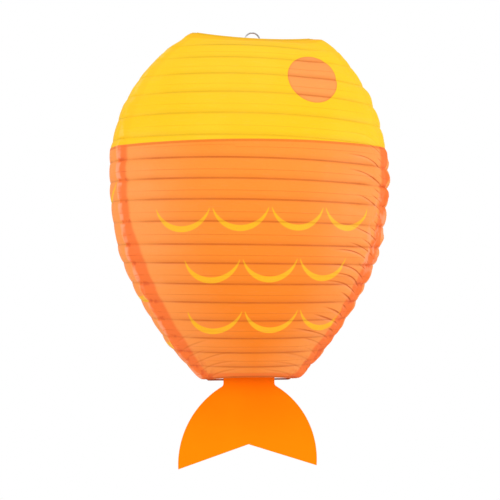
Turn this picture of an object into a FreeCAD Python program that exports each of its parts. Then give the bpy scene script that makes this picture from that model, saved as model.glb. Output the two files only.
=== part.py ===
"""Fish-shaped paper lantern that hangs head up, with a card tail below.

A pile of oval wire hoops carries a paper skin of four sheets. A sprung wire expander inside props the
two rims apart and ends, above the skin, in the loop that the lantern hangs from. The card tail is
folded and glued round a wire bar across the bottom opening. With the expander out, the lantern folds
flat like an accordion.

Frame, in millimetres: the origin is where a hook bears inside the hanging loop, +Z up, the fish's
broad front faces -Y, and X runs across its width. Parts that touch are drawn with a small gap.
"""

import FreeCAD, Part
import math
import os

Vec = FreeCAD.Vector

# ---- driving dimensions ----

# The skin's outside, measured at the hoops: height, half width, half depth.
TOP_Z, BOTTOM_Z = -4.8, -361.8
STATIONS = [
    (TOP_Z, 68.2, 24.0),
    (-23.0, 92.2, 36.0),
    (-56.0, 119.3, 57.0),
    (-97.0, 138.8, 73.5),
    (-140.0, 146.6, 81.5),
    (-180.0, 145.0, 82.0),
    (-223.0, 138.4, 79.0),
    (-261.0, 124.0, 72.0),
    (-298.0, 104.0, 58.0),
    (-332.0, 80.5, 40.0),
    (BOTTOM_Z, 52.5, 22.0),
]
HOOP_HEIGHTS = [
    *(-22.0, -37.0, -56.0, -76.0, -98.0, -120.0, -142.0, -162.0, -182.0),
    *(-203.0, -225.0, -243.0, -263.0, -281.0, -299.0, -317.0, -332.0, -347.0),
]
BORDER_Z = -123.8  # the head sheets meet the body sheets here
END_RADIUS_SHARE = 0.55  # a hoop's end radius, as a share of its half depth
SEAM_ANGLE = 38.0  # degrees forward of the side, where the front and back sheets meet
TOP_RISE = -7.8  # the middle of the top rim's long runs, above its ends
BOTTOM_RISE = 4.0

RIB_R = 0.55
RIM_R = 0.75
EXPANDER_R = 0.8
BAR_R = 0.85
PAPER_T = 0.4  # horizontally; tissue paper is really about 0.05
PAPER_LIP = 0.9  # how far the skin runs past each rim's middle
TOUCH = 0.1  # between wires that really touch
PAPER_GAP = 0.3  # between a hoop and the skin

# The expander, in the plane y = 0.
LOOP_R = 7.8  # to the wire's middle
NECK_R = 2.5
NECK_ANGLE = 35.0  # from straight down, where the loop turns out into the arms
SHOULDER_R = 4.0
JOG_R, JOG_Z = 12.0, -30.0
FOOT_R = 3.0
LEG_X = 54.0
FOOT_TIP_X = 47.0

# The tail and its bar.
BAR_Y, BAR_Z = 3.0, -364.3
BAR_HALF = 42.0  # its straight part
HOOK_R, RISE_R = 1.2, 2.0
NECK_HALF = 27.0
NECK_FILLET = 4.0  # where the neck meets the lobes
TIP_X, TIP_Z = 73.4, -455.8
TAIL_ARC_R = 91.6
TAIL_BELLY = 5.8  # how far above its tips the tail is widest
NOTCH_Z = -431.8
FOLD_Z = -352.0  # the card's top, folded back here
LAP_Z = -374.0  # the folded part's lower edge
CARD_T = 0.5
SLEEVE_R = BAR_R + 0.2


def between(z, column):
    """A station value at height z, on a smooth curve that never overshoots the stations."""
    zs = [row[0] for row in STATIONS]
    vs = [row[column] for row in STATIONS]
    steps = [(vs[i + 1] - vs[i]) / (zs[i + 1] - zs[i]) for i in range(len(zs) - 1)]

    def slope(i):
        if i in (0, len(zs) - 1):
            return steps[min(i, len(steps) - 1)]
        above, below = steps[i - 1], steps[i]
        return 0.0 if above * below <= 0 else 2 * above * below / (above + below)

    i = max(k for k in range(len(steps)) if k == 0 or z <= zs[k])
    span = zs[i + 1] - zs[i]
    t = (z - zs[i]) / span
    value = vs[i] * (1 + 2 * t) * (1 - t) ** 2 + vs[i + 1] * t * t * (3 - 2 * t)
    return value + span * (slope(i) * t * (1 - t) ** 2 - slope(i + 1) * t * t * (1 - t))


def wire_inset(z, wire_r):
    """From the skin's outside in to a hoop wire's middle, so that the sloping skin clears the wire."""
    up, down = min(z + 5, TOP_Z), max(z - 5, BOTTOM_Z)
    slope = abs(between(up, 1) - between(down, 1)) / (up - down)
    return PAPER_T + (wire_r + PAPER_GAP) * math.hypot(1, slope)


class Oval:
    """Four tangent arcs round the Z axis: two long runs and two ends. The long runs lie in planes
    tilted about X, so that their middles stand `rise` above the ends."""

    def __init__(self, z, inset=0.0, rise=0.0, lift=0.0):
        self.half_x, self.half_y = between(z, 1) - inset, between(z, 2) - inset
        self.end_r = END_RADIUS_SHARE * between(z, 2) - inset
        self.side = Vec(self.half_x, 0, z + lift)
        tilt = rise / between(z, 2)
        for _ in range(25 if rise else 1):
            low, high = 0.02, math.pi / 2 - 0.02
            for _ in range(50):
                turn = (low + high) / 2
                self.set_arcs(turn, tilt)
                if self.run_r * math.sin(turn) > self.join.x:
                    low = turn
                else:
                    high = turn
            if rise:
                tilt *= rise / (self.middle.z - self.side.z)

    def set_arcs(self, turn, tilt):
        """Places the arcs for a long run that turns this far from its middle to each end."""
        end_tilt = math.atan(math.tan(turn) * math.sin(tilt))
        end_turn = math.asin(math.sin(turn) * math.cos(tilt))
        depth = self.half_y - self.end_r * math.cos(end_turn)
        self.run_r = depth / (math.cos(tilt) * (1 - math.cos(turn)))
        self.out = Vec(math.cos(end_tilt), 0, -math.sin(end_tilt))
        self.end_centre = self.side - self.out * self.end_r
        self.end_arc = math.pi / 2 - end_turn
        self.join = self.end_point(self.end_arc)
        self.middle = Vec(0, -self.half_y, self.join.z + self.run_r * (1 - math.cos(turn)) * math.sin(tilt))

    def end_point(self, angle):
        """On the right-hand end, this far forward of the side."""
        forward = Vec(0, -self.end_r * math.sin(angle), 0)
        return self.end_centre + self.out * self.end_r * math.cos(angle) + forward


def flip(point, x=1, y=1):
    return Vec(point.x * x, point.y * y, point.z)


def arc(first, through, last):
    return Part.Arc(first, through, last).toShape()


def line(first, last):
    return Part.LineSegment(first, last).toShape()


def round_wire(edges, radius):
    """Round wire along tangent arcs and straight lines."""
    pieces = []
    for edge in edges:
        start = edge.valueAt(edge.FirstParameter)
        disc = Part.Face(Part.Wire([Part.makeCircle(radius, start, edge.tangentAt(edge.FirstParameter))]))
        if edge.Curve.TypeId == "Part::GeomLine":
            pieces.append(disc.extrude(edge.valueAt(edge.LastParameter) - start))
        else:
            sweep = math.degrees(edge.LastParameter - edge.FirstParameter)
            pieces.append(disc.revolve(edge.Curve.Center, edge.Curve.Axis, sweep))
    solid = pieces[0].fuse(pieces[1:]).removeSplitter().Solids[0]
    expected = math.pi * radius**2 * sum(edge.Length for edge in edges)
    assert abs(solid.Volume / expected - 1) < 0.002, "a wire isn't one whole solid"
    return solid


def hoop(z, radius, rise=0.0):
    oval = Oval(z, wire_inset(z, radius), rise)
    join, middle, side = oval.join, oval.middle, oval.side
    return round_wire(
        [
            arc(flip(join, -1), middle, join),
            arc(join, side, flip(join, 1, -1)),
            arc(flip(join, 1, -1), flip(middle, 1, -1), flip(join, -1, -1)),
            arc(flip(join, -1, -1), flip(side, -1), flip(join, -1)),
        ],
        radius,
    )


# ---- bent wires ----


def tangent(first, second):
    """Where a straight run leaves one bend and meets the next. A bend is (centre x, centre z, radius),
    with a radius above 0 if the wire turns left there and below 0 if it turns right."""
    dx, dz = second[0] - first[0], second[1] - first[1]
    reach = math.hypot(dx, dz)
    lean = math.asin((second[2] - first[2]) / reach)
    across = math.atan2(dz, dx) + math.pi / 2 - lean
    return [(x - r * math.cos(across), z - r * math.sin(across)) for x, z, r in (first, second)]


def bent_path(start, bends, end, y=0.0):
    """Edges from start to end, round the bends in between, in a plane of constant y."""
    stops = [(*start, 0.0), *bends, (*end, 0.0)]
    runs = [tangent(a, b) for a, b in zip(stops, stops[1:])]
    edges = []
    for i, (leave, meet) in enumerate(runs):
        if i:
            x, z, r = bends[i - 1]
            last = runs[i - 1][1]
            came = math.atan2(last[1] - z, last[0] - x)
            gone = math.atan2(leave[1] - z, leave[0] - x)
            turn = (gone - came) % (2 * math.pi) if r > 0 else -((came - gone) % (2 * math.pi))
            half = came + turn / 2
            through = Vec(x + abs(r) * math.cos(half), y, z + abs(r) * math.sin(half))
            edges.append(arc(Vec(last[0], y, last[1]), through, Vec(leave[0], y, leave[1])))
        edges.append(line(Vec(leave[0], y, leave[1]), Vec(meet[0], y, meet[1])))
    return edges


def expander():
    """One wire: foot, leg, shoulder, arm, hanging loop, and back down the other side."""
    top = Oval(TOP_Z, wire_inset(TOP_Z, RIM_R))
    foot_z = BOTTOM_Z + RIM_R + EXPANDER_R + TOUCH
    crest_z = TOP_Z - RIM_R - EXPANDER_R - TOUCH
    loop_z = EXPANDER_R - LOOP_R
    reach = LOOP_R + NECK_R + 0.2
    neck_x = reach * math.sin(math.radians(NECK_ANGLE))
    neck_z = loop_z - reach * math.cos(math.radians(NECK_ANGLE))
    right = [
        (LEG_X - FOOT_R, foot_z + FOOT_R, FOOT_R),
        (LEG_X + JOG_R, JOG_Z, -JOG_R),
        (top.half_x, crest_z - SHOULDER_R, SHOULDER_R),
        (neck_x, neck_z, -NECK_R),
    ]
    left = [(-x, z, r) for x, z, r in reversed(right)]
    bends = [*right, (0.0, loop_z, LOOP_R), *left]
    return round_wire(bent_path((FOOT_TIP_X, foot_z), bends, (-FOOT_TIP_X, foot_z)), EXPANDER_R)


def tail_bar():
    """A straight wire whose ends rise inside the bottom rim and hook outwards over it."""
    rim = Oval(BOTTOM_Z, wire_inset(BOTTOM_Z, RIM_R))
    over_z = BOTTOM_Z + RIM_R + BAR_R + TOUCH
    hook_x = rim.half_x - RIM_R - BAR_R - 1.0 + HOOK_R
    bends = [
        (hook_x, over_z - HOOK_R, HOOK_R),
        (BAR_HALF, BAR_Z + RISE_R, -RISE_R),
        (-BAR_HALF, BAR_Z + RISE_R, -RISE_R),
        (-hook_x, over_z - HOOK_R, HOOK_R),
    ]
    edges = bent_path((rim.half_x + 0.6, over_z), bends, (-rim.half_x - 0.6, over_z), BAR_Y)
    return round_wire(edges, BAR_R)


# ---- paper and card ----


def sheet(levels, front):
    """One sheet of the skin: flat-sided bands between the ovals of its levels, PAPER_T thick."""
    seam = math.radians(SEAM_ANGLE)

    def skin_edges(oval):
        """The sheet's edges round one oval, from the left seam to the right seam."""
        start = oval.end_point(seam)
        if front:
            half = oval.end_point((seam + oval.end_arc) / 2)
            return [
                arc(flip(start, -1), flip(half, -1), flip(oval.join, -1)),
                arc(flip(oval.join, -1), oval.middle, oval.join),
                arc(oval.join, half, start),
            ]
        half = oval.end_point((oval.end_arc - seam) / 2)
        half.y *= -1
        join, middle = flip(oval.join, 1, -1), flip(oval.middle, 1, -1)
        return [
            arc(flip(start, -1), flip(half, -1), flip(join, -1)),
            arc(flip(join, -1), middle, join),
            arc(join, half, start),
        ]

    outer = [skin_edges(Oval(*level)) for level in levels]
    inner = [skin_edges(Oval(z, PAPER_T, rise, lift)) for z, _, rise, lift in levels]
    faces = []
    for skin in (outer, inner):
        for upper, lower in zip(skin, skin[1:]):
            faces += [Part.makeRuledSurface(a, b) for a, b in zip(upper, lower)]
    for row in (0, -1):
        faces += [Part.makeRuledSurface(a, b) for a, b in zip(outer[row], inner[row])]
    for end, at in ((0, "FirstParameter"), (-1, "LastParameter")):
        for i in range(len(levels) - 1):
            corners = [row[end].valueAt(getattr(row[end], at)) for row in (outer[i], outer[i + 1])]
            backs = [row[end].valueAt(getattr(row[end], at)) for row in (inner[i], inner[i + 1])]
            faces.append(Part.makeRuledSurface(line(*corners), line(*backs)))
    shell = Part.Shell(faces)
    shell.sewShape()
    solid = Part.Solid(shell)
    if solid.Volume < 0:
        solid.reverse()
    assert solid.isValid(), "a sheet isn't one whole solid"
    return solid


def tail_card():
    """The card: a neck, two rounded lobes and a notch, with its top folded back and glued round the bar."""
    back_y = BAR_Y - SLEEVE_R
    front_y = back_y - CARD_T

    def side_arc(x):
        """Three points from the neck to the tip, on the side of the given sign, bulging outwards."""
        centre_x, centre_z = TIP_X - TAIL_ARC_R, TIP_Z + TAIL_BELLY
        first = math.acos((NECK_HALF - centre_x) / TAIL_ARC_R)
        last = math.asin((TIP_Z - centre_z) / TAIL_ARC_R)
        places = []
        for angle in (first, (first + last) / 2, last):
            reach = centre_x + TAIL_ARC_R * math.cos(angle)
            places.append(Vec(x * reach, front_y, centre_z + TAIL_ARC_R * math.sin(angle)))
        return places

    right, left = side_arc(1), side_arc(-1)
    notch = Vec(0, front_y, NOTCH_Z)
    top_right, top_left = Vec(NECK_HALF, front_y, FOLD_Z), Vec(-NECK_HALF, front_y, FOLD_Z)
    outline = Part.Wire(
        [
            line(top_right, right[0]),
            arc(*right),
            line(right[2], notch),
            line(notch, left[2]),
            arc(left[2], left[1], left[0]),
            line(left[0], top_left),
            line(top_left, top_right),
        ]
    )
    card = Part.Face(outline).extrude(Vec(0, CARD_T, 0))
    corners = [right[0], left[0]]
    necks = [edge for edge in card.Edges if any(edge.distToShape(Part.Vertex(c))[0] < 0.01 for c in corners)]
    card = card.makeFillet(NECK_FILLET, [edge for edge in necks if abs(edge.tangentAt(0).y) > 0.99])
    # the folded part lies flat on the card's back above and below the bar, and bulges round it
    flap = Part.makeBox(2 * NECK_HALF, CARD_T, FOLD_Z - LAP_Z, Vec(-NECK_HALF, back_y, LAP_Z))
    axis_end = Vec(-NECK_HALF, BAR_Y, BAR_Z)
    bulge = Part.makeCylinder(SLEEVE_R + CARD_T, 2 * NECK_HALF, axis_end, Vec(1, 0, 0))
    bore = Part.makeCylinder(SLEEVE_R, 2 * NECK_HALF, axis_end, Vec(1, 0, 0))
    before = Part.makeBox(4 * NECK_HALF, 10, 10, Vec(-2 * NECK_HALF, back_y - 10, BAR_Z - 5))
    return card.fuse([flap, bulge.cut(before)]).cut(bore).removeSplitter().Solids[0]


def main():
    os.makedirs("parts", exist_ok=True)
    top = (TOP_Z, 0.0, TOP_RISE, PAPER_LIP)
    bottom = (BOTTOM_Z, 0.0, BOTTOM_RISE, -PAPER_LIP)
    border = (BORDER_Z, 0.0, 0.0, 0.0)
    hoops = [(z, 0.0, 0.0, 0.0) for z in HOOP_HEIGHTS]
    head = [top, *[level for level in hoops if level[0] > BORDER_Z], border]
    body = [border, *[level for level in hoops if level[0] < BORDER_Z], bottom]
    nodes = {
        "head_paper_front": sheet(head, True),
        "head_paper_back": sheet(head, False),
        "body_paper_front": sheet(body, True),
        "body_paper_back": sheet(body, False),
        "top_rim": hoop(TOP_Z, RIM_R, TOP_RISE),
        "bottom_rim": hoop(BOTTOM_Z, RIM_R, BOTTOM_RISE),
        "expander": expander(),
        "tail_bar": tail_bar(),
        "tail_card": tail_card(),
    }
    for k, z in enumerate(HOOP_HEIGHTS, 1):
        nodes[f"rib_{k:02d}"] = hoop(z, RIB_R)
    for name, shape in nodes.items():
        assert shape.isValid() and shape.Volume > 0, name
        shape.exportStep(f"parts/{name}.step")


if __name__ == "__main__":
    main()
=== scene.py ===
"""The look of a fish-shaped paper lantern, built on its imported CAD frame.

The four paper sheets are rebuilt as thin skins that bulge between the wire hoops, crease near the seams
and fold over the rims. The hoops, rims, expander, bar and card tail are the CAD's own solids, with
procedural materials. Lengths in the sheet code are in millimetres, and meshes are made in metres.
"""

import functools
import math

import bpy
import numpy as np
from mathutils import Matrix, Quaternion, Vector


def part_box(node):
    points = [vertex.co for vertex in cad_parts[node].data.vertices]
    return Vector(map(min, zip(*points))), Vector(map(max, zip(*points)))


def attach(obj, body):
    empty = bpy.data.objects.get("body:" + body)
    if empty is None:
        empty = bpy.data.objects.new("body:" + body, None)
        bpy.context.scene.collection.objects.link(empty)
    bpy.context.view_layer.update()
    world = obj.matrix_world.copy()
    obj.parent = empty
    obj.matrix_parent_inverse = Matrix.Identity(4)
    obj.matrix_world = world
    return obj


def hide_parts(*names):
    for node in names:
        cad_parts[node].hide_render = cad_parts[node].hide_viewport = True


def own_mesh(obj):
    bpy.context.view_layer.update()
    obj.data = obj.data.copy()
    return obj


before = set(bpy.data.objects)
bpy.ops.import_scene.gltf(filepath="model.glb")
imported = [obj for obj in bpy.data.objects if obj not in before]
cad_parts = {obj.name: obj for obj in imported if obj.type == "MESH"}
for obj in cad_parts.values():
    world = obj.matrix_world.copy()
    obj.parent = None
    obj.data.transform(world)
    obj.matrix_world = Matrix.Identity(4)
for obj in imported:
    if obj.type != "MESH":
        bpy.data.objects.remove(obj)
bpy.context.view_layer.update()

# the CAD's hoops
RIBS = [f"rib_{k:02d}" for k in range(1, 19)]
RIM_R = 0.75  # the rims' wire
END_SHARE = 0.55  # a hoop's end radius, as a share of its half depth

# where the sheets meet
SEAM = math.radians(38)  # how far forward of the side the front sheets end
BORDER_Z, BORDER_TILT = -123.8, 0.025  # the body sheets' top edge, which rises towards +X
BORDER_LAP = 2.4  # the head sheets run on under the body sheets
LAP, WIDE_LAP = 10.5, 17.5  # how far the back sheets run on under the front ones, high up and low down
LAP_WIDENS, LAP_NARROWS = (-195.0, -240.0), (-362.0, -325.0)  # the heights between which it changes
BORDER_LAYER = 0.3  # how far the body sheets' top edge stands out over the head sheets
HEM = 7.0  # paper folded in over each rim
TOP_BAND, BOTTOM_BAND = 19.0, 15.0  # about how far the rims are from the next hoop
LAYER, UNDERLAY = 0.25, 0.1  # where they overlap, the front sheets stand out and the back ones sink in

# how the paper is pulled out of shape
FAN_DROP, FAN_REACH, CREASE_PITCH = 21.0, 30.0, 8.0  # pulled folds drop towards the seam
# heights, and how far the paper stands off the hoops at the right shoulder, which is between these x
SHOULDER_SLACK = (-96, -56, -37, -22, -9, -5), (0, 1.5, 3.5, 5.0, 6.5, 0)
SHOULDER_X = 46, 84
NEAR_SEAM = 85, 6  # from this far the paper is less and less calm, and here it is least so
FOLD_HEIGHT = 2.4  # of the pulled folds
RIDGE_REACH = 2.8  # how far the ridge along a seam spreads

# the mesh
RUN_COLUMNS, SHOULDER_COLUMNS, SIDE_COLUMNS = 92, 14, 26  # mesh columns in a quarter of the way round
LAP_COLUMNS = 14  # where the back sheets run on under the front ones
BAND_ROWS = 12  # between one hoop and the next

# the printed scales
CRESCENT_PITCH, CRESCENT_OUTER, CRESCENT_INNER = 56.5, 27.4, 29.4  # and the radii of their two arcs
OUTER_RISE, INNER_RISE = 5.6, 13.3  # the arcs' centres, above the tips
# each row's tips, its left end from the middle of the sheet, and how many crescents it has
FRONT_ROWS = [(-190.0, -107.0, 4), (-239.5, -77.0, 3), (-290.0, -72.5, 3)]
# on the back, the left end is measured from the seam instead
BACK_ROWS = [(-160.0, 4.0, 7), (-209.0, 48.0, 5), (-258.0, -4.0, 5), (-306.0, 1.0, 3)]

# the printed eye
EYE_ALONG, EYE_Z, EYE_R, EYE_WIDER = 54.8, -58.3, 26.1, 1.05


def srgb(red, green, blue):
    """A display colour from 0 to 255 as a linear colour."""
    channels = [c / 255 for c in (red, green, blue)]
    return tuple(c / 12.92 if c <= 0.04045 else ((c + 0.055) / 1.055) ** 2.4 for c in channels) + (1.0,)


def smooth(x, low, high):
    """0 at low and 1 at high, with soft ends. low may be above high."""
    t = np.clip((x - low) / (high - low), 0, 1)
    return t * t * (3 - 2 * t)


def noise(x, y, seed, knots=64):
    """Smooth random values from 0 to 1, one knot per unit. They repeat after `knots` units."""
    table = np.random.default_rng(seed).random((knots, knots))
    i, j = np.floor(x).astype(int), np.floor(y).astype(int)
    u, v = x - i, y - j
    u, v = u * u * (3 - 2 * u), v * v * (3 - 2 * v)
    left, right, below, above = i % knots, (i + 1) % knots, j % knots, (j + 1) % knots
    low = table[left, below] * (1 - u) + table[right, below] * u
    high = table[left, above] * (1 - u) + table[right, above] * u
    return low * (1 - v) + high * v


# ---- the skin's frame: one ring of columns round each hoop ----


TILT_ROUNDS, TURN_HALVINGS = 25, 50  # enough for the two searches in quarter() to settle


def quarter(half_x, half_y, end_r, z, rise):
    """The front right quarter of a hoop's outside, from the middle of its long run to its side: points
    and outward normals. It is two tangent arcs; the long run's plane is tilted so that its middle stands
    `rise` above the side."""
    tilt = rise / half_y
    for _ in range(TILT_ROUNDS if rise else 1):
        low, high = 0.02, math.pi / 2 - 0.02
        for _ in range(TURN_HALVINGS):
            turn = (low + high) / 2
            end_tilt = math.atan(math.tan(turn) * math.sin(tilt))
            end_turn = math.asin(math.sin(turn) * math.cos(tilt))
            run_r = (half_y - end_r * math.cos(end_turn)) / (math.cos(tilt) * (1 - math.cos(turn)))
            join_x = half_x - end_r * math.cos(end_tilt) * (1 - math.sin(end_turn))
            if run_r * math.sin(turn) > join_x:
                low = turn
            else:
                high = turn
        join_z = z + end_r * math.sin(end_tilt) * (1 - math.sin(end_turn))
        middle_z = join_z + run_r * (1 - math.cos(turn)) * math.sin(tilt)
        if rise:
            tilt *= rise / (middle_z - z)
    phi = turn * np.linspace(0, 1, RUN_COLUMNS + 1) ** 0.8
    middle = np.array([0, -half_y, middle_z])
    run_n = np.stack([np.sin(phi), -np.cos(phi) * math.cos(tilt), np.cos(phi) * math.sin(tilt)], 1)
    run_p = middle + run_r * (run_n - run_n[0])
    out = np.array([math.cos(end_tilt), 0, -math.sin(end_tilt)])
    shoulder = np.linspace(math.pi / 2 - end_turn, SEAM, SHOULDER_COLUMNS + 1)[1:]
    theta = np.concatenate([shoulder, np.linspace(SEAM, 0, SIDE_COLUMNS + 1)[1:]])
    end_n = np.cos(theta)[:, None] * out - np.sin(theta)[:, None] * np.array([0, 1, 0])
    end_p = np.array([half_x, 0, z]) - out * end_r + end_r * end_n
    return np.concatenate([run_p, end_p]), np.concatenate([run_n, end_n])


def hoop_ring(node, gap=0.15):
    """quarter() just outside a CAD hoop, with its ends' height and its wire's radius."""
    low, high = (np.array(corner) * 1000 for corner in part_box(node))
    half_x, half_y = (high[0] - low[0]) / 2 + gap, (high[1] - low[1]) / 2 + gap
    wire_r, z, rise = (high[2] - low[2]) / 2, (high[2] + low[2]) / 2, 0.0
    if node == "top_rim":
        wire_r, z, rise = RIM_R, high[2] - RIM_R, low[2] - high[2] + 2 * RIM_R
    if node == "bottom_rim":
        wire_r, z, rise = RIM_R, low[2] + RIM_R, high[2] - low[2] - 2 * RIM_R
    points, normals = quarter(half_x, half_y, END_SHARE * half_y - 0.5, z, rise)
    return {"points": points, "normals": normals, "z": z, "wire_r": wire_r + gap}


RINGS = [hoop_ring(node) for node in ("top_rim", *RIBS, "bottom_rim")]
BANDS = len(RINGS) - 1
BORDER_BAND = next(band for band in range(BANDS) if RINGS[band + 1]["z"] <= BORDER_Z)


def lap(z):
    """How far the back sheets run on under the front ones, at this height."""
    return LAP + (WIDE_LAP - LAP) * smooth(z, *LAP_WIDENS) * smooth(z, *LAP_NARROWS)


def columns(ring, front):
    """A sheet's columns round one hoop, from its left seam to its right: points, outward normals, the
    way round from the sheet's middle, and the way in from the front sheet's edge (below 0 behind it)."""
    points, normals = ring["points"], ring["normals"]
    seam = RUN_COLUMNS + SHOULDER_COLUMNS
    run = np.concatenate([[0], np.cumsum(np.linalg.norm(np.diff(points, axis=0), axis=1))])
    if front:
        half = [points[: seam + 1], normals[: seam + 1], run[: seam + 1], run[seam] - run[: seam + 1]]
    else:
        under = run[seam] - np.linspace(0, lap(ring["z"]), LAP_COLUMNS + 1)[1:]
        point_at = np.stack([np.interp(under, run, points[:, k]) for k in range(3)], 1)
        normal_at = np.stack([np.interp(under, run, normals[:, k]) for k in range(3)], 1)
        back = np.array([1, -1, 1])
        beyond = slice(-2, seam - 1, -1)
        along = np.concatenate([run, 2 * run[-1] - run[beyond], 2 * run[-1] - under])
        half = [
            np.concatenate([points * back, points[beyond], point_at]),
            np.concatenate([normals * back, normals[beyond], normal_at]),
            along,
            along - 2 * run[-1] + run[seam],
        ]
    mirror = np.array([-1, 1, 1])
    signs = (mirror, mirror, -1, 1)
    return [np.concatenate([values[:0:-1] * sign, values]) for values, sign in zip(half, signs)]


# ---- how the paper stands out between the hoops ----
#
# Each of these gives millimetres outwards, and depends only on the place, so that two sheets agree where
# they overlap. right is 1 on the lantern's right and 0 on its left, seam is the distance from the nearer
# seam, and window is 0 at the hoops and 1 half way between them.


def bulge(band, u, z, right, near, window):
    """The paper's plain bulge: higher near the seams, above all the right one, flatter low down and near
    the top rim, and uneven from band to band."""
    low = smooth(z, -235, -275)
    top = smooth(z, -62, -30)
    right_height, left_height = 1.6 - 1.1 * low, 0.75 - 0.3 * low
    side = right_height * right + left_height * (1 - right)
    height = (0.45 + near * (side + 0.3)) * (1 - 0.55 * top * near)
    uneven = 0.55 + 0.9 * noise(u / 42 + 3, band * 1.37 + 0 * u, 11)
    return window**0.7 * height * uneven * (1 - 0.8 * top * (1 - right))


def ripples(u, z, near, window):
    """Small ripples that run from hoop to hoop near the seams, and slow waves."""
    small = 0.55 * near * (noise(u / 4.5, z / 30, 12) - 0.5)
    return window * (small + 0.4 * (noise(u / 22, z / 9, 13) - 0.5))


def pulled_folds(u, z, right, seam, window):
    """Folds that fan down into the right seam, on the head into both, and that cross the left seam,
    most of all at its bottom corner."""
    fan = smooth(seam, 75, 18) * right * smooth(z, -95, -150)
    head = 0.4 * smooth(seam, 50, 8) * smooth(z, -150, -70)
    corner = smooth(seam, 60, 8) * (1 - right) * smooth(z, -285, -330)
    left = 0.5 * smooth(seam, 30, 6) * (1 - right)
    pulled = z + FAN_DROP * np.exp(-seam / FAN_REACH)
    folds = (fan + head) * (noise(u / 34, pulled / 6.5, 21) - 0.5)
    folds += corner * (noise(u / 26, (z + 0.8 * u) / 6, 25) - 0.5)
    folds += left * (noise(u / 14, (z + 1.4 * u) / 9, 27) - 0.5)
    return FOLD_HEIGHT * np.sqrt(window) * folds


def seam_ridge(z, right, inside, window):
    """The seams stand up in an uneven ridge, dented at each hoop, strongest at the body's upper right
    and weak on the head."""
    upper = right * smooth(z, -115, -135) * smooth(z, -215, -185)
    head = smooth(z, -140, -110)
    ridge = 0.5 + (1.7 + 1.8 * upper) * noise(z / 8, right * 9 + 2.5, 31) + 0.5 * upper
    ridge *= (0.3 + 0.7 * np.sqrt(window)) * (1 - 0.6 * head)
    return ridge * np.exp(-((inside / RIDGE_REACH) ** 2))


def relief(band, t, points, inside):
    """How far the paper stands out from the straight line between two hoops."""
    x, z = points[:, 0], points[:, 2]
    u = x + 1.2 * points[:, 1]  # goes on round the lantern's sides
    window = 4 * t * (1 - t)
    right = smooth(x, -10, 10)
    seam = np.abs(inside)
    near = smooth(seam, *NEAR_SEAM)
    slack = np.interp(z, *SHOULDER_SLACK) * smooth(x, *SHOULDER_X)
    out = bulge(band, u, z, right, near, window) + ripples(u, z, near, window)
    return out + pulled_folds(u, z, right, seam, window) + slack + seam_ridge(z, right, inside, window)


# ---- the sheets ----


def border_place(x, z_offset=0.0):
    """The border's place at each x, as a count of bands down from the top rim."""
    z = BORDER_Z + BORDER_TILT * x + z_offset
    top, bottom = RINGS[BORDER_BAND]["z"], RINGS[BORDER_BAND + 1]["z"]
    return BORDER_BAND + np.clip((top - z) / (top - bottom), 0.01, 0.99)


def hem(ring, front, up):
    """Rows that fold the sheet in over a rim, from the rim's outside to the fold's inner edge."""
    points, normals, along, inside = columns(ring, front)
    reach = ring["wire_r"] + np.where(inside < 0, 0.0, LAYER if front else -UNDERLAY)
    centre = points - normals * ring["wire_r"]
    rise = np.array([0, 0, 1.0 if up else -1.0])
    turns = np.linspace(0.35, math.pi, 8)
    drops = np.linspace(0, HEM, 6)[1:]
    rows = [centre + reach[:, None] * (math.cos(a) * normals + math.sin(a) * rise) for a in turns]
    rows += [rows[-1] - rise * drop for drop in drops]
    edge = [*(-RIM_R * turns), *(-RIM_R * math.pi - drops)]
    far_from_hoops = 0 * along + 9
    return [(row, along, inside, far_from_hoops, 0 * along + e) for row, e in zip(rows, edge)]


def sheet_rows(part, front):
    """A sheet's rows from top to bottom. A row has the points, the way round from the sheet's middle,
    the way in from the seam, and the distances to the nearest hoop and to the nearer rim."""
    rings = [columns(ring, front) for ring in RINGS]
    x = rings[BORDER_BAND + 1][0][:, 0]
    start, end = 0 * x, 0 * x + BANDS
    if part == "head":
        end = border_place(x, -BORDER_LAP)
    else:
        start = border_place(x)
    spread = 0.5 - 0.5 * np.cos(np.pi * np.arange(BAND_ROWS + 1) / BAND_ROWS)
    rows = []
    for band in range(int(start.min()), math.ceil(end.max())):
        low, high = np.clip(start - band, 0, 1), np.clip(end - band, 0, 1)
        (p0, n0, a0, i0), (p1, n1, a1, i1) = rings[band], rings[band + 1]
        down = p1 - p0
        length = np.linalg.norm(down, axis=1)
        down /= length[:, None]
        last = band + 1 >= end.max()
        for share in spread if last else spread[:-1]:
            t = low + (high - low) * share
            w = t[:, None]
            points, normals = (1 - w) * p0 + w * p1, (1 - w) * n0 + w * n1
            inside = (1 - t) * i0 + t * i1
            normals -= (normals * down).sum(1)[:, None] * down
            normals /= np.linalg.norm(normals, axis=1)[:, None]
            out = relief(band, t, points, inside)
            out += LAYER if front else np.where(inside > 0, -UNDERLAY, 0.0)
            if part == "body":
                out += BORDER_LAYER * smooth(band + t - start, 0.7, 0)
            rib = length * np.where(t < 0.5, t, t - 1)
            edge = np.minimum((band + t) * TOP_BAND, (BANDS - band - t) * BOTTOM_BAND)
            rows.append((points + normals * out[:, None], (1 - t) * a0 + t * a1, inside, rib, edge))
    if part == "head":
        return hem(RINGS[0], front, True)[::-1] + rows
    return rows + hem(RINGS[-1], front, False)


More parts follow.
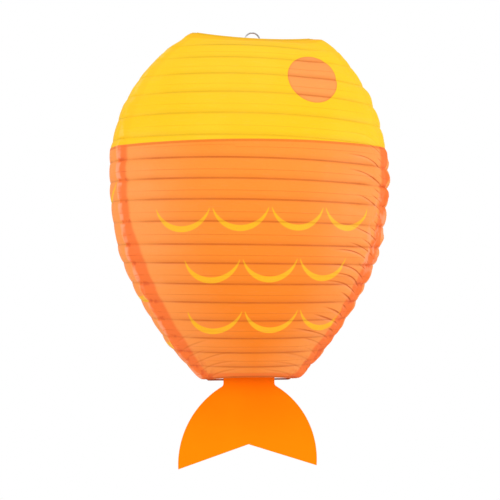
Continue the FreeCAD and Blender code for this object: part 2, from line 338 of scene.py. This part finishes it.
def paper_sheet(part, front):
    """Makes one sheet as a mesh, with its chart and distances as attributes, and rides it on the top rim."""
    face = "front" if front else "back"
    rows = sheet_rows(part, front)
    points, along, inside, rib, edge = (np.concatenate(column) for column in zip(*rows))
    corner = np.arange(len(points)).reshape(len(rows), -1)
    quads = np.stack([corner[:-1, :-1], corner[1:, :-1], corner[1:, 1:], corner[:-1, 1:]], -1).reshape(-1, 4)
    if not front:
        quads = quads[:, ::-1]
    mesh = bpy.data.meshes.new(f"{part}_skin_{face}")
    mesh.from_pydata((points / 1000).tolist(), [], quads.tolist())
    mesh.shade_smooth()
    chart = np.stack([along, points[:, 2], rib], 1)
    mesh.attributes.new("chart", "FLOAT_VECTOR", "POINT").data.foreach_set("vector", chart.ravel())
    for key, values in (("inside", inside), ("edge", edge)):
        mesh.attributes.new(key, "FLOAT", "POINT").data.foreach_set("value", values)
    piece = bpy.data.objects.new(mesh.name, mesh)
    bpy.context.scene.collection.objects.link(piece)
    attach(piece, "top_ring")
    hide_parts(f"{part}_paper_{face}")
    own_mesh(piece)
    return piece


# ---- materials ----


class Graph:
    """A material's node tree, with short calls for the nodes used here."""

    def __init__(self, name):
        self.material = bpy.data.materials.new(name)
        self.material.use_nodes = True
        self.tree = self.material.node_tree
        self.tree.nodes.clear()

    def put(self, socket, value):
        if isinstance(value, bpy.types.NodeSocket):
            self.tree.links.new(value, socket)
        else:
            socket.default_value = value

    def node(self, kind, inputs=None, **settings):
        made = self.tree.nodes.new("ShaderNode" + kind)
        for key, value in settings.items():
            setattr(made, key, value)
        for key, value in (inputs or {}).items():
            self.put(made.inputs[key], value)
        return made

    def math(self, operation, *values):
        return self.node("Math", dict(enumerate(values)), operation=operation).outputs[0]

    def times(self, *values):
        result = values[0]
        for value in values[1:]:
            result = self.math("MULTIPLY", result, value)
        return result

    def plus(self, first, second):
        return self.math("ADD", first, second)

    def absolute(self, value):
        return self.math("ABSOLUTE", value)

    def distance(self, across, up):
        squares = self.plus(self.math("POWER", across, 2.0), self.math("POWER", up, 2.0))
        return self.math("SQRT", squares)

    def step(self, value, start, end):
        """0 before start and 1 past end, with soft ends. start may be above end."""
        low, high, first, last = (start, end, 0.0, 1.0) if start < end else (end, start, 1.0, 0.0)
        inputs = {"Value": value, "From Min": low, "From Max": high, "To Min": first, "To Max": last}
        return self.node("MapRange", inputs, interpolation_type="SMOOTHSTEP", clamp=True).outputs[0]

    def between(self, value, low, high):
        """A 0 to 1 value stretched to run from low to high."""
        return self.node("MapRange", {"Value": value, "To Min": low, "To Max": high}).outputs[0]

    def mix(self, share, first, second):
        made = self.node("Mix", data_type="RGBA")
        for index, value in ((0, share), (6, first), (7, second)):
            self.put(made.inputs[index], value)
        return made.outputs[2]

    def noise(self, vector, scale, detail=2.0):
        return self.node("TexNoise", {"Vector": vector, "Scale": scale, "Detail": detail}).outputs["Fac"]

    def stretched_noise(self, vector, scales, detail=2.0):
        return self.noise(self.node("Mapping", {"Vector": vector, "Scale": scales}).outputs[0], 1.0, detail)

    def attribute(self, name, output="Fac"):
        return self.node("Attribute", attribute_name=name).outputs[output]

    def finish(self, shader):
        self.tree.links.new(shader.outputs[0], self.node("OutputMaterial").inputs["Surface"])
        return self.material


def crescents(g, along, z, front):
    """The printed scales: each is the space between two arcs, thick in the middle, tips up."""
    shapes = []
    soft = 0.35  # half the width of the print's soft edge
    heights = [ring["z"] for ring in reversed(RINGS)]
    seams = [columns(ring, False)[2][-LAP_COLUMNS - 1] for ring in reversed(RINGS)]
    for tip_z, start, count in FRONT_ROWS if front else BACK_ROWS:
        if not front:
            start -= float(np.interp(tip_z, heights, seams))
        half_row = count * CRESCENT_PITCH / 2
        place = g.math("SUBTRACT", along, start)
        cell = g.math("FLOORED_MODULO", place, CRESCENT_PITCH)
        local = g.math("SUBTRACT", cell, CRESCENT_PITCH / 2)
        from_outer = g.distance(local, g.math("SUBTRACT", z, tip_z + OUTER_RISE))
        from_inner = g.distance(local, g.math("SUBTRACT", z, tip_z + INNER_RISE))
        from_middle = g.math("ABSOLUTE", g.math("SUBTRACT", place, half_row))
        shape = g.times(
            g.step(from_outer, CRESCENT_OUTER + soft, CRESCENT_OUTER - soft),
            g.step(from_inner, CRESCENT_INNER - soft, CRESCENT_INNER + soft),
            g.step(z, tip_z + 1.5, tip_z),
            g.step(from_middle, half_row + 0.2, half_row - 0.2),
        )
        shapes.append(shape)
    return functools.reduce(lambda first, second: g.math("MAXIMUM", first, second), shapes)


LIGHT_THROUGH = 0.3  # the share of the light that the paper lets through


class Paper(Graph):
    """Dyed tissue paper: mottled and fibrous, darker where it lies double, and letting some light through,
    with painted shade in the valley at each hoop, along the fold over each rim and in its creases, bends and
    crumples, a painted shadow along each wire, a painted sheen near the seams, and painted highlights along a
    seam's raised edge, on its wrinkles and beside its creases. Each method paints one of these over the
    colour so far. The chart gives the way round from the sheet's middle, the height and the distance below
    the nearest hoop; inside is the way in from the seam, and edge the distance from the nearer rim."""

    def __init__(self, name, head, front):
        super().__init__(name)
        self.head, self.front = head, front
        chart = self.node("SeparateXYZ", {0: self.attribute("chart", "Vector")})
        self.along, self.z, self.rib = chart.outputs[0], chart.outputs[1], chart.outputs[2]
        self.inside, self.edge = self.attribute("inside"), self.attribute("edge")
        self.seam = self.absolute(self.inside)
        self.place = self.node("TexCoord").outputs["Object"]
        x = self.node("SeparateXYZ", {0: self.place}).outputs[0]
        self.tilted_z = self.math("SUBTRACT", self.z, self.math("MULTIPLY", x, BORDER_TILT * 1000))
        self.blotch = self.noise(self.place, 60.0, 4.0)
        self.crumple = self.stretched_noise(self.place, (150.0, 150.0, 70.0), 3.0)
        # the first colour is for painted shade, the last for painted highlights and the paler fibre strands
        if head:
            self.shade_colour, self.deep, self.pale = srgb(232, 184, 0), srgb(252, 192, 0), srgb(255, 226, 120)
        else:
            self.shade_colour, self.deep, self.pale = srgb(202, 88, 0), srgb(250, 118, 40), srgb(255, 176, 128)

    def paint(self, share, colour):
        self.colour = self.mix(share, self.colour, colour)

    def wandering(self, value, scale, detail, reach):
        """A distance that wanders by half of reach either way."""
        drift = self.math("SUBTRACT", self.noise(self.place, scale, detail), 0.5)
        return self.plus(value, self.math("MULTIPLY", drift, reach))

    def yellow(self):
        """The head's dye, and the eye: a printed disc with a slightly darker rim."""
        cloud = self.noise(self.place, 9.0)
        self.colour = self.mix(self.step(cloud, 0.35, 0.65), srgb(255, 211, 10), srgb(255, 216, 30))
        across = self.math("DIVIDE", self.math("SUBTRACT", self.along, EYE_ALONG), EYE_WIDER)
        from_eye = self.distance(across, self.math("SUBTRACT", self.tilted_z, EYE_Z))
        disc = self.step(from_eye, EYE_R + 0.3, EYE_R - 0.2)
        self.paint(disc, srgb(252, 163, 84))
        rim = self.step(from_eye, EYE_R - 1.7, EYE_R + 0.1)
        self.paint(self.times(disc, rim, 0.6), srgb(232, 126, 40))
        # the painted shade is redder over the eye
        self.shade_colour = self.mix(disc, self.shade_colour, srgb(214, 104, 24))

    def orange(self):
        """The body's colour, lighter high up, paler near the seams as a painted sheen, and the printed
        scales.
        """
        cloud = self.noise(self.place, 9.0)
        self.colour = self.mix(self.step(self.z, -340.0, -130.0), srgb(251, 138, 18), srgb(255, 156, 54))
        # painted sheen: paler near the seams
        self.paint(self.step(self.seam, 95.0, 10.0), srgb(255, 163, 78))
        self.paint(self.times(self.step(cloud, 0.4, 0.7), 0.35), srgb(255, 143, 32))
        scales = crescents(self, self.along, self.tilted_z, self.front)
        self.paint(scales, srgb(255, 196, 30))
        # and the painted shade is yellower over the scales
        self.shade_colour = self.mix(scales, self.shade_colour, srgb(226, 150, 8))
        # the head sheet's edge shows through just below the border
        lower_edge = BORDER_Z - BORDER_LAP
        under = self.step(self.tilted_z, lower_edge - 0.3, lower_edge + 0.3)
        self.paint(self.times(under, 0.6), srgb(226, 116, 10))

    def double_layers(self):
        """Two layers of paper, at the seams and at the folded hems, and painted shade along the fold over
        each rim.
        """
        if self.front:
            wide = self.times(self.step(self.z, *LAP_WIDENS), self.step(self.z, *LAP_NARROWS), WIDE_LAP - LAP)
            inner = self.wandering(self.math("SUBTRACT", self.inside, wide), 55.0, 3.0, 5.0)
            double = self.step(inner, LAP + 2.2, LAP - 2.2)
            self.paint(self.times(double, 0.18 if self.head else 0.8), self.deep)
        self.paint(self.times(self.step(self.edge, 6.6, 5.4), 0.6), self.deep)
        # painted shade along the fold over the rim wire
        self.paint(self.times(self.step(self.absolute(self.edge), 1.7, 0.4), 0.6), self.shade_colour)

    def valley_shade(self):
        """At each hoop, painted soft shade, mostly above it, and a thin uneven painted shadow of the wire
        along it.
        """
        uneven = self.between(self.stretched_noise(self.place, (28.0, 28.0, 60.0), 3.0), 0.35, 1.35)
        shade = self.math("MINIMUM", self.step(self.rib, -7.5, 0.0), self.step(self.rib, 3.2, 0.0))
        line = self.step(self.absolute(self.rib), 1.35, 0.3)
        calm = self.between(self.step(self.seam, 10.0, 50.0), 0.22, 1.0)
        self.paint(self.times(self.math("POWER", shade, 1.6), calm, 0.34 if self.head else 0.22), self.shade_colour)
        # the painted shadow of the wire, a thin uneven line
        self.paint(self.math("MINIMUM", self.times(line, uneven, calm, 0.62), 0.85), self.shade_colour)

    def crease_shade_and_highlights(self):
        """Painted shade as thin lines in the folds that are pulled down to the seam, each with a painted
        highlight beside it.
        """
        pull = self.math("EXPONENT", self.math("DIVIDE", self.seam, -FAN_REACH))
        pulled = self.plus(self.z, self.math("MULTIPLY", pull, FAN_DROP))
        bend = self.math("MULTIPLY", self.noise(self.place, 16.0, 1.0), 9.0)
        count = self.math("DIVIDE", self.plus(pulled, bend), CREASE_PITCH)
        which = self.math("FLOOR", count)
        # each crease has its own length
        chance = self.node("TexWhiteNoise", {"W": which}, noise_dimensions="1D").outputs["Value"]
        share = self.math("DIVIDE", self.seam, self.between(chance, 16.0, 78.0))
        # none on the left, except at the bottom
        side = self.math("MAXIMUM", self.step(self.along, -20.0, 20.0), self.step(self.z, -310.0, -335.0))
        reach = self.times(
            self.step(share, 1.0, 0.6),
            self.step(self.seam, 4.0, 16.0),
            side,
            self.step(self.z, -90.0, -150.0),
            self.between(self.noise(self.place, 45.0, 2.0), 0.3, 1.7),
            self.between(self.step(self.z, -335.0, -305.0), 0.35, 1.0),
        )
        off_line = self.math("SUBTRACT", self.math("SUBTRACT", count, which), 0.45)
        crease = self.times(self.step(self.absolute(off_line), 0.12, 0.03), reach)
        crease_highlight = self.times(self.step(self.absolute(self.plus(off_line, 0.2)), 0.16, 0.03), reach)
        # painted shade along each crease, and a painted highlight beside it
        self.paint(self.math("MULTIPLY", crease, 0.8), self.shade_colour)
        self.paint(self.math("MULTIPLY", crease_highlight, 0.2), self.pale)

    def kink_and_crumple_shade(self):
        """Painted shade where the double band bends at each hoop, and in the crumples at the bottom corners.
        """
        dent = self.step(self.absolute(self.plus(self.rib, self.between(self.blotch, -3.0, 3.0))), 3.6, 0.6)
        kink_shade = self.times(self.step(self.seam, 15.0, 9.0), self.step(self.inside, 0.0, 3.0), dent, 0.5)
        # painted shade where the double band bends at each hoop, then in the bottom corners' crumples
        self.paint(self.math("MULTIPLY", kink_shade, self.step(self.crumple, 0.42, 0.56)), srgb(222, 78, 18))
        bottom = self.times(self.step(self.seam, 26.0, 8.0), self.step(self.z, -318.0, -345.0))
        self.paint(self.times(bottom, self.step(self.crumple, 0.5, 0.62), 0.5), srgb(222, 84, 30))

    def seam_highlight(self):
        """A painted highlight along the seam's raised edge, mostly on the left and not at the hoops."""
        off_edge = self.absolute(self.wandering(self.plus(self.inside, 0.6), 70.0, 2.0, 8.0))
        broken = self.times(self.step(self.blotch, 0.36, 0.6), self.step(self.absolute(self.rib), 0.8, 3.4))
        edge_highlight = self.times(self.step(off_edge, 4.6, 1.8), broken)
        # the painted highlight on the seam's raised edge
        self.paint(self.times(edge_highlight, self.step(self.along, 60.0, -60.0), 0.3 if self.head else 0.85), self.pale)

    def wrinkle_highlights(self):
        """Painted highlights on the wrinkles beside the right seam."""
        across = self.times(self.step(self.along, 20.0, 60.0), self.step(self.seam, 30.0, 16.0))
        down = self.times(self.step(self.z, -165.0, -185.0), self.step(self.z, -265.0, -235.0))
        # painted highlights where the wrinkles catch the light
        self.paint(self.times(self.step(self.crumple, 0.5, 0.66), across, down, 0.7), self.pale)

    def fibres(self):
        """The tissue's fibres and strands, and their height for the bump."""
        fibre = self.noise(self.place, 900.0, 3.0)
        strand = self.stretched_noise(self.place, (90.0, 90.0, 700.0), 3.0)
        self.paint(self.math("MULTIPLY", self.step(fibre, 0.45, 0.8), 0.18), self.deep)
        self.paint(self.math("MULTIPLY", self.step(strand, 0.5, 0.8), 0.07), self.pale)
        return self.plus(self.math("MULTIPLY", fibre, 0.5), strand)

    def made(self):
        if self.head:
            self.yellow()
        else:
            self.orange()
        self.double_layers()
        self.valley_shade()
        self.crease_shade_and_highlights()
        if not self.head:
            self.kink_and_crumple_shade()
        self.seam_highlight()
        if not self.head:
            self.wrinkle_highlights()
        height = self.fibres()
        bump = self.node("Bump", {"Height": height, "Strength": 0.35, "Distance": 0.0003}).outputs[0]
        inputs = {
            "Base Color": self.colour,
            "Roughness": self.between(self.blotch, 0.42, 0.62),
            "Normal": bump,
            "Specular IOR Level": 0.28,
        }
        paper = self.node("BsdfPrincipled", inputs)
        through = self.node("BsdfTranslucent", {"Color": self.colour, "Normal": bump})
        shaders = {0: LIGHT_THROUGH, 1: paper.outputs[0], 2: through.outputs[0]}
        return self.finish(self.node("MixShader", shaders))


def wire_material(name, dull, bright, rust, metallic=1.0, rough=0.24, shine=0.5):
    """Drawn wire: long fine scratches, and stains."""
    g = Graph(name)
    place = g.node("TexCoord").outputs["Object"]
    draw, stain = g.noise(place, 380.0, 4.0), g.noise(place, 45.0, 3.0)
    colour = g.mix(g.step(stain, 0.35, 0.65), dull, bright)
    colour = g.mix(g.times(g.step(g.noise(place, 130.0, 5.0), 0.6, 0.75), 0.5), colour, rust)
    bump = g.node("Bump", {"Height": draw, "Strength": 0.15, "Distance": 0.0001}).outputs[0]
    inputs = {
        "Base Color": colour,
        "Metallic": metallic,
        "Roughness": g.between(draw, rough, rough + 0.22),
        "Normal": bump,
        "Specular IOR Level": shine,
    }
    return g.finish(g.node("BsdfPrincipled", inputs))


LOBES_Z, NECK_Z, NECK_TOP_Z = -0.44, -0.385, -0.36  # on the card tail, in metres


def card_material():
    """Smooth printed card: its colour deepens towards the neck, partly print and partly painted shade from
    the body above, with a painted shadow where the neck goes up behind the hem, and its cut edge is a little
    browner.
    """
    g = Graph("printed_card")
    place = g.node("TexCoord").outputs["Object"]
    height = g.node("SeparateXYZ", {0: place}).outputs[2]
    board, tooth = g.noise(place, 26.0, 5.0), g.noise(place, 1500.0, 2.0)
    # partly print, partly painted shade, deepening towards the neck
    colour = g.mix(g.step(height, LOBES_Z, NECK_Z), srgb(255, 127, 0), srgb(255, 117, 0))
    # painted shadow where the neck goes up behind the hem
    colour = g.mix(g.times(g.step(height, NECK_Z, NECK_TOP_Z), 0.8), colour, srgb(238, 98, 0))
    colour = g.mix(g.times(g.step(board, 0.4, 0.7), 0.25), colour, srgb(255, 132, 2))
    facing = g.node("SeparateXYZ", {0: g.node("NewGeometry").outputs["Normal"]})
    cut = g.step(g.math("ABSOLUTE", facing.outputs[1]), 0.7, 0.4)
    colour = g.mix(cut, colour, srgb(206, 96, 10))
    bump = g.node("Bump", {"Height": tooth, "Strength": 0.12, "Distance": 0.0001}).outputs[0]
    inputs = {
        "Base Color": colour,
        "Roughness": g.between(board, 0.45, 0.6),
        "Normal": bump,
        "Specular IOR Level": 0.03,
    }
    return g.finish(g.node("BsdfPrincipled", inputs))


def floor_material():
    g = Graph("pale_floor")
    place = g.node("TexCoord").outputs["Object"]
    colour = g.mix(g.noise(place, 3.0), srgb(232, 232, 230), srgb(238, 238, 236))
    return g.finish(g.node("BsdfPrincipled", {"Base Color": colour, "Roughness": 0.8}))


# ---- the pieces ----


def flat_size(part, front):
    """The cut sheet's width, length and area in metres, measured on the skin in steps of half a band, so
    that its ripples and creases are left out."""
    rows = sheet_rows(part, front)
    points = np.stack([row[0] for row in rows[:: BAND_ROWS // 2]]) / 1000
    girths = np.linalg.norm(np.diff(points, axis=1), axis=2).sum(1)
    steps = np.linalg.norm(np.diff(points, axis=0), axis=2)
    length = steps[:, steps.shape[1] // 2].sum()
    area = ((girths[1:] + girths[:-1]) / 2 * steps.mean(1)).sum()
    return girths.max(), length, area


for part in ("head", "body"):
    for front in (True, False):
        piece = paper_sheet(part, front)
        piece.data.materials.append(Paper(f"{piece.name}_paper", part == "head", front).made())
        width, length, area = flat_size(part, front)

steel = wire_material("steel_wire", srgb(150, 152, 156), srgb(188, 190, 193), srgb(130, 110, 96))
browns = srgb(128, 54, 28), srgb(158, 78, 44), srgb(92, 40, 22)
bar_wire = wire_material("painted_wire", *browns, metallic=0.0, rough=0.6, shine=0.2)
card = card_material()
for name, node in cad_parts.items():
    if "paper" in name:
        continue
    for slot in node.material_slots:
        slot.material = {"tail_card": card, "tail_bar": bar_wire}.get(name, steel)

# ---- the room, the lights and the camera ----

CENTRE = (0.0, 0.0, -0.2285)
ROOM_LIGHT = 0.8  # what lights the lantern; where it is seen directly the room is 1
FLOOR_Z, FLOOR_R = -1.3, 2.1
LAMP_SIZE = 0.9
# the camera, from the lantern's middle line and below its middle
CAMERA_REACH, CAMERA_DROP = 0.85, 0.019
CAMERA_TURN, CAMERA_ROLL = math.radians(-9.0), math.radians(0.5)
CAMERA_LENS, CAMERA_SHIFT = 58.3, -0.001


def soft_light(name, place, power):
    lamp = bpy.data.lights.new(name, "AREA")
    lamp.shape, lamp.size, lamp.energy = "DISK", LAMP_SIZE, power
    made = bpy.data.objects.new(name, lamp)
    made.location = place
    made.rotation_euler = (Vector(CENTRE) - Vector(place)).to_track_quat("-Z", "Y").to_euler()
    bpy.context.scene.collection.objects.link(made)


def white_room():
    world = bpy.data.worlds.new("studio")
    world.use_nodes = True
    tree = world.node_tree
    seen = tree.nodes.new("ShaderNodeLightPath").outputs["Is Camera Ray"]
    strength = tree.nodes.new("ShaderNodeMapRange")
    strength.inputs["To Min"].default_value = ROOM_LIGHT
    strength.inputs["To Max"].default_value = 1.0
    tree.links.new(seen, strength.inputs["Value"])
    tree.nodes["Background"].inputs["Color"].default_value = (1.0, 1.0, 1.0, 1.0)
    tree.links.new(strength.outputs[0], tree.nodes["Background"].inputs["Strength"])
    bpy.context.scene.world = world
    bpy.context.scene.view_settings.view_transform = "Standard"


def floor_disc(sides=96):
    turns = np.linspace(0, 2 * math.pi, sides + 1)[:-1]
    ring = [(FLOOR_R * math.cos(turn), FLOOR_R * math.sin(turn), FLOOR_Z) for turn in turns]
    mesh = bpy.data.meshes.new("floor")
    mesh.from_pydata(ring, [], [range(sides)])
    mesh.materials.append(floor_material())
    floor = bpy.data.objects.new("floor", mesh)
    bpy.context.scene.collection.objects.link(floor)


def front_camera():
    """Level, turned a little to the lantern's left, and rolled a little."""
    data = bpy.data.cameras.new("camera")
    data.sensor_width, data.lens, data.shift_x = 36.0, CAMERA_LENS, CAMERA_SHIFT
    camera = bpy.data.objects.new("camera", data)
    camera.location = (
        CAMERA_REACH * math.sin(CAMERA_TURN),
        -CAMERA_REACH * math.cos(CAMERA_TURN),
        CENTRE[2] - CAMERA_DROP,
    )
    aim = (Vector(CENTRE) - camera.location).to_track_quat("-Z", "Y")
    camera.rotation_euler = (aim @ Quaternion((0, 0, 1), CAMERA_ROLL)).to_euler()
    bpy.context.scene.collection.objects.link(camera)
    bpy.context.scene.camera = camera


white_room()
floor_disc()
soft_light("left", (-1.5, -0.9, -0.2), 11.0)
soft_light("right", (1.5, -0.8, -0.2), 13.0)
soft_light("top", (0.1, -1.0, 1.2), 7.0)
front_camera()
